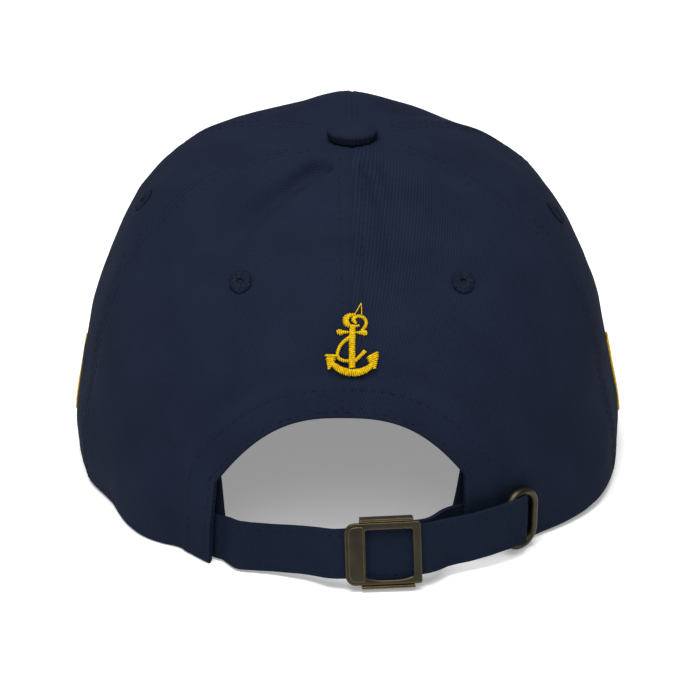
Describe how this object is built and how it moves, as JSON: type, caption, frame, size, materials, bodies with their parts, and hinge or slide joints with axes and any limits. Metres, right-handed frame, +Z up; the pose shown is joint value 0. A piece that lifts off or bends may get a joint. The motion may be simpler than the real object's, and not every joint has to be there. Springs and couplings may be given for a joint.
{
  "type": "six-panel cotton cap with a peak and a strap with a buckle",
  "caption": "Soft six-panel navy twill cap with a curved peak, an arched rear opening with a strap and an aged brass buckle, and a gold embroidered anchor.",
  "frame": {"origin": "on the surface that the cap rests on, midway in its box", "axes": "+Y towards the peak, +Z up through the button, +X to the right as seen from behind"},
  "size_m": [0.1752, 0.2798, 0.1085],
  "materials": {
    "twill": "brushed cotton twill, matte",
    "sweatband_cloth": "plain cotton, matte",
    "eyelet_thread": "dense thread, slight sheen",
    "gold_thread": "satin stitch, silky",
    "aged_brass": "antique, dark with rubbed edges"
  },
  "bodies": {
    "root": {"panel_back_left": "twill", "panel_back_right": "twill", "panel_side_left": "twill", "panel_side_right": "twill", "panel_front_left": "twill", "panel_front_right": "twill", "button": "twill", "peak": "twill", "strap": "twill", "buckle_tab": "twill", "eyelet_back_left": "eyelet_thread", "eyelet_back_right": "eyelet_thread", "eyelet_side_left": "eyelet_thread", "eyelet_side_right": "eyelet_thread", "eyelet_front_left": "eyelet_thread", "eyelet_front_right": "eyelet_thread", "sweatband": "sweatband_cloth", "buckle_base": "aged_brass", "buckle_lever": "aged_brass", "slot_ring": "aged_brass", "anchor": "gold_thread", "side_bar_left": "gold_thread", "side_bar_right": "gold_thread"}
  },
  "joints": []
}
